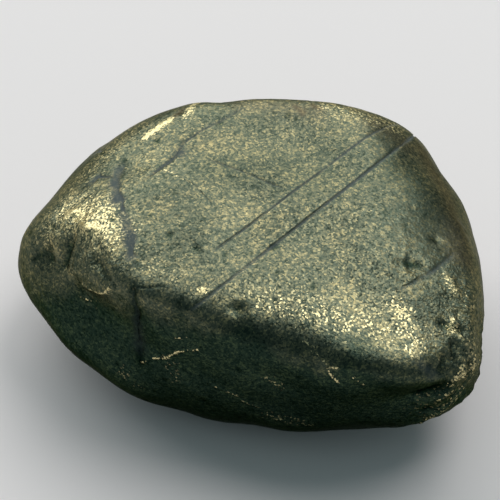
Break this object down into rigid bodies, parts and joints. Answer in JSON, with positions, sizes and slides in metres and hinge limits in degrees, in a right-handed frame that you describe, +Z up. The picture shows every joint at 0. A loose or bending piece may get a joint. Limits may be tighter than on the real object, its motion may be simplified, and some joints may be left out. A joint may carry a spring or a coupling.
{
  "type": "chalcopyrite pebble",
  "caption": "Smooth, tumbled pebble of massive chalcopyrite, flat-topped with a blunt right end and a narrower left tip, lying on a small flat spot.",
  "frame": {"origin": "the middle of the stone's box, at the level of the surface that it lies on", "axes": "+X along the length, from the narrow left tip to the blunt right end; +Y from the front face to the back; +Z up"},
  "size_m": [0.0424, 0.032, 0.0203],
  "materials": {
    "chalcopyrite": "brassy metallic lustre in fine grains, worn to a satin polish, with olive to blue-grey tarnish and a brown oxidised rim"
  },
  "bodies": {
    "root": {"chalcopyrite_pebble": "chalcopyrite"}
  },
  "joints": []
}
